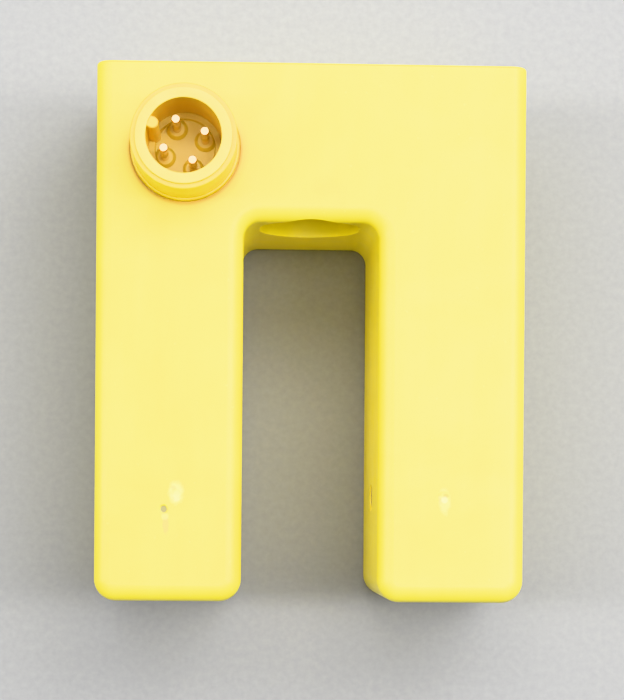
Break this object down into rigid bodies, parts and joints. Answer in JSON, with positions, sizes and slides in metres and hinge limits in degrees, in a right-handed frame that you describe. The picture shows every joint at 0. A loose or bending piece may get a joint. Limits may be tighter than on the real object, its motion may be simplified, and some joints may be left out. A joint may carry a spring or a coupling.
{
  "type": "fork photoelectric sensor",
  "caption": "Fork-shaped light barrier: rounded plastic body with a sensing slot between its legs, a round plug connector on its face, a screw hole in the yoke and a turnable adjuster.",
  "frame": {"origin": "centre of the footprint, on the flat back face that the sensor lies on", "axes": "+Z out of the front face, where the connector is; +Y from the legs to the yoke; +X to the right seen from the front with the yoke up"},
  "size_m": [0.05, 0.062, 0.0362],
  "materials": {
    "housing_yellow": "moulded polyester, satin",
    "cover_yellow": "moulded polyester, satin",
    "connector_yellow": "moulded polyester, semi-gloss",
    "carrier_amber": "moulded nylon, semi-gloss",
    "sealing_resin": "cast resin, gloss",
    "zinc_steel": "zinc plated",
    "seal_rubber": "smooth",
    "board_green": "solder mask",
    "diode_clear": "clear epoxy",
    "diode_dark": "filter epoxy",
    "window_amber": "polished, infrared transparent",
    "pipe_clear": "polished",
    "light_green": "moulded",
    "light_yellow": "moulded",
    "trimmer_blue": "moulded",
    "rotor_white": "moulded",
    "spindle_dark": "moulded",
    "capacitor_orange": "moulded epoxy",
    "ceramic_tan": "fired ceramic",
    "contact_gold": "gold plated",
    "component_black": "moulded epoxy"
  },
  "bodies": {
    "sensor": {"ceramic_capacitors": "ceramic_tan", "chip_resistors": "component_black", "circuit_board": "board_green", "connector_seal": "seal_rubber", "connector_shell": "connector_yellow", "contact_carrier": "carrier_amber", "contact_pin_1": "contact_gold", "contact_pin_2": "contact_gold", "contact_pin_3": "contact_gold", "contact_pin_4": "contact_gold", "controller_chip": "component_black", "emitter_diode": "diode_clear", "emitter_holder": "component_black", "emitter_window": "window_amber", "end_cover": "cover_yellow", "housing_body": "housing_yellow", "mounting_sleeve": "zinc_steel", "output_light": "light_yellow", "output_light_pipe": "pipe_clear", "output_transistors": "component_black", "power_light": "light_green", "power_light_pipe": "pipe_clear", "protection_diodes": "component_black", "receiver_diode": "diode_dark", "receiver_holder": "component_black", "receiver_window": "window_amber", "sealing_bead": "sealing_resin", "tantalum_capacitors": "capacitor_orange", "trimmer_body": "trimmer_blue", "voltage_regulator": "component_black"},
    "adjuster": {"adjuster_spindle": "spindle_dark", "trimmer_rotor": "rotor_white", "adjuster_seal": "seal_rubber"}
  },
  "joints": [
    {"name": "sensitivity_turn", "type": "hinge", "parent": "sensor", "child": "adjuster", "pos_m": [0.0175, 0.029, 0.0159], "axis": [0, 1, 0], "range_deg": [-135, 135]}
  ]
}
